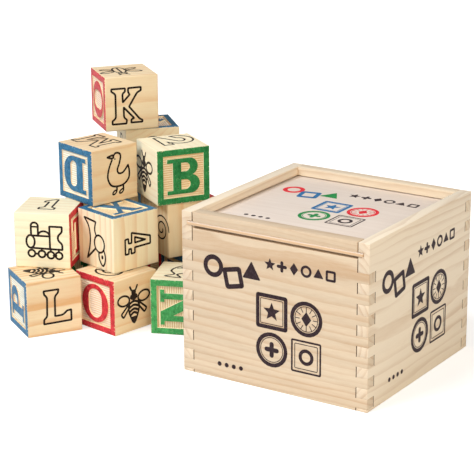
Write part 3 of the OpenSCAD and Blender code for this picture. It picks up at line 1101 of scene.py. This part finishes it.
def diamond_shape(r=0.5):
    """A filled diamond."""
    return [blot(rounded([(r * 0.72, 0), (0, r), (-r * 0.72, 0), (0, -r)], 0.04))]


def star_shape():
    """A filled star."""
    return [blot(rounded(star(0.52, 0.23), 0.02))]


def rays(count, inner, outer, width=0.022):
    """Thin spokes about the centre."""
    turns = [2 * math.pi * i / count for i in range(count)]
    return [stroke([turned(inner, 0, a), turned(outer, 0, a)], False, width) for a in turns]


def tile(shape, is_round, border=0.11):
    """A shape in a thick frame with a thin inner line."""
    for half, width in ((0.35, 0.02), (0.44, border)):
        edge = oval(0, 0, half, half, 0, width) if is_round else outline(square(half), 0.03, width)
        shape = [edge] + shape
    return shape


def make_sign(name, body, place, unit, drawing, material):
    """A drawing as one thin piece that rides on a body."""
    bm = bmesh.new()
    add_drawing(bm, place, unit, drawing)
    piece = mesh_object(name, bm, [material])
    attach(piece, body)


def sign_design(tiles_x, tiles_y, size):
    """Large shapes, a row of small ones, four tiles and a few dots, in shares of the box's width.

    Each is listed with the colour that it has on the lid. The tiles have their own place and size.
    """
    small = [star_shape(), cross_shape(), diamond_shape(), ring_shape(), triangle_shape(), square_shape()]
    spoked = moved(diamond_shape(), size=0.42) + rays(12, 0.21, 0.34)
    step = TILE_STEP_SHARE
    tiles = [
        ("blue", -step, step, tile(moved(star_shape(), size=0.52), False)),
        ("red", step, step, tile(spoked, True)),
        ("green", -step, -step, tile(moved(cross_shape(), size=0.5), True)),
        ("black", step, -step, tile(moved(ring_shape(), size=0.48), False, 0.05))]
    design = [
        ("red", moved(ring_shape(), x=-0.325, y=0.175, size=0.115)),
        ("blue", moved(square_shape(), x=-0.215, y=0.135, size=0.12, turn=12)),
        ("green", moved(triangle_shape(), x=-0.115, y=0.185, size=0.115))]
    x, y = ROW_START_SHARES
    for i, shape in enumerate(small):
        design.append(("black", moved(shape, x=x + ROW_STEP_SHARE * i, y=y, size=ROW_SIZE_SHARE)))
    for hue, x, y, drawing in tiles:
        placed = moved(drawing, x=tiles_x + x * size, y=tiles_y + y * size, size=TILE_SIZE_SHARE * size)
        design.append((hue, placed))
    x, y = DOT_START_SHARES
    dot = [blot(ellipse(0, 0, 0.5, 0.5))]
    for i in range(DOT_COUNT):
        design.append(("black", moved(dot, x=x + DOT_STEP_SHARE * i, y=y, size=DOT_SIZE_SHARE)))
    return design


def make_signs():
    """The sign in one ink on two walls, and in four inks on the lid."""
    low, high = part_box("front_wall")
    width = high.x - low.x
    one_ink = [part for hue, parts in sign_design(*WALL_TILE_SHARES) for part in parts]
    for node, side in (("front_wall", "front"), ("right_wall", "right")):
        low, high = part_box(node)
        distance = (high.x - low.x) / 2 if side == "right" else (high.y - low.y) / 2
        place = Matrix.Translation((low + high) / 2) @ side_matrix(side, distance)
        drawing = moved(one_ink, y=SIGN_LIFT_SHARES[side])
        make_sign(f"{side}_sign", "box", place, width, drawing, SIGN_MATERIALS["black"])
    low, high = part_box("lid_panel")
    place = Matrix.Translation((low + high) / 2) @ side_matrix("top", (high.z - low.z) / 2)
    design = sign_design(*LID_TILE_SHARES)
    for hue in SIGN_MATERIALS:
        drawing = moved([part for own, parts in design if own == hue for part in parts],
                        y=SIGN_LIFT_SHARES["top"])
        make_sign(f"lid_sign_{hue}", "lid", place, width, drawing, SIGN_MATERIALS[hue])


# Stage


def make_floor():
    """A wide white floor that glows a little where the camera sees it."""
    g = Graph(bpy.data.materials.new("floor_white"))
    g.surface(colour(FLOOR_WHITE), FLOOR_ROUGHNESS, 0.0)
    path = g.node("ShaderNodeLightPath")
    seen = g.math("MAXIMUM", path.outputs["Is Camera Ray"], path.outputs["Is Glossy Ray"])
    seen = g.math("MAXIMUM", seen, path.outputs["Is Transmission Ray"])
    g.shade("Emission Color", (1, 1, 1, 1))
    g.shade("Emission Strength", g.math("MULTIPLY", seen, FLOOR_GLOW))
    bm = bmesh.new()
    bm.faces.new([bm.verts.new((x, y, 0)) for x, y in square(FLOOR_REACH)])
    floor = mesh_object("floor", bm, [g.owner])


def make_lights():
    """Two suns and an even sky, white where the camera sees it."""
    g = Graph(bpy.data.worlds.new("studio"), "Background")
    seen = g.node("ShaderNodeLightPath").outputs["Is Camera Ray"]
    level = g.node("ShaderNodeMapRange", {"Value": seen, "To Min": SKY_LEVEL, "To Max": 1.0})
    g.shade("Color", (1.0, 1.0, 1.0, 1.0))
    g.shade("Strength", level.outputs[0])
    bpy.context.scene.world = g.owner
    for name, (strength, angle, source, tint) in SUNS.items():
        sun = bpy.data.lights.new(name, "SUN")
        sun.energy = strength
        sun.angle = math.radians(angle)
        sun.color = tint
        lamp = bpy.data.objects.new(name, sun)
        lamp.rotation_euler = Vector(source).to_track_quat("Z", "Y").to_euler()
        bpy.context.scene.collection.objects.link(lamp)


def make_camera():
    """The camera, as the photograph was taken."""
    azimuth = math.radians(CAMERA_AZIMUTH)
    elevation = math.radians(CAMERA_ELEVATION)
    level = math.cos(elevation)
    forward = Vector((-math.sin(azimuth) * level, math.cos(azimuth) * level, -math.sin(elevation)))
    right = Vector((math.cos(azimuth), math.sin(azimuth), 0))
    up = right.cross(forward)
    turn = Matrix((right, up, -forward)).transposed().to_4x4()
    roll = Matrix.Rotation(math.radians(CAMERA_ROLL), 4, "Z")
    camera = bpy.data.objects.new("camera", bpy.data.cameras.new("camera"))
    camera.data.lens = CAMERA_LENS
    camera.data.sensor_width = SENSOR
    camera.matrix_world = Matrix.Translation(CAMERA_PLACE) @ turn @ roll
    bpy.context.scene.collection.objects.link(camera)
    bpy.context.scene.camera = camera


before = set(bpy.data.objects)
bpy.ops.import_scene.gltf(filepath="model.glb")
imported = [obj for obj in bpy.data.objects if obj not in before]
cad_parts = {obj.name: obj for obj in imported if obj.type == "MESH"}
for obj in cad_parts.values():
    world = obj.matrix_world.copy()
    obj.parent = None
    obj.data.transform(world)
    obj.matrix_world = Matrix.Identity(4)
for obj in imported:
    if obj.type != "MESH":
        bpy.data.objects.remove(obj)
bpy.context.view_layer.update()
bpy.context.scene.view_settings.view_transform = "Standard"

PAINT_MATERIALS = {hue: paint(f"{hue}_paint", code) for hue, code in PAINTS.items()}
SIGN_MATERIALS = {hue: ink(f"{hue}_ink", code) for hue, code in SIGN_INKS.items()}
BLOCK_INK = ink("block_ink", INK)
# Painted shade for the seams between the box's fingers
SEAM_SHADE_MATERIAL = ink("seam_shade", PAINTED_SEAM_SHADE)
GROUND_MATERIALS = {tone: wood(f"{tone}_ground", code, TAN_WOOD, *RIB_GRAIN)
                    for tone, code in GROUNDS.items()}
# Darker wood in the ribs' valleys: painted shade
GROOVE_SHADE_MATERIALS = {tone: wood(f"{tone}_groove", code, TAN_WOOD, *GROOVE_GRAIN)
                    for tone, code in GROOVE_SHADES.items()}

make_camera()
make_lights()
make_floor()
for order, block in enumerate(BLOCKS):
    make_block(block, order)
make_box()
make_signs()
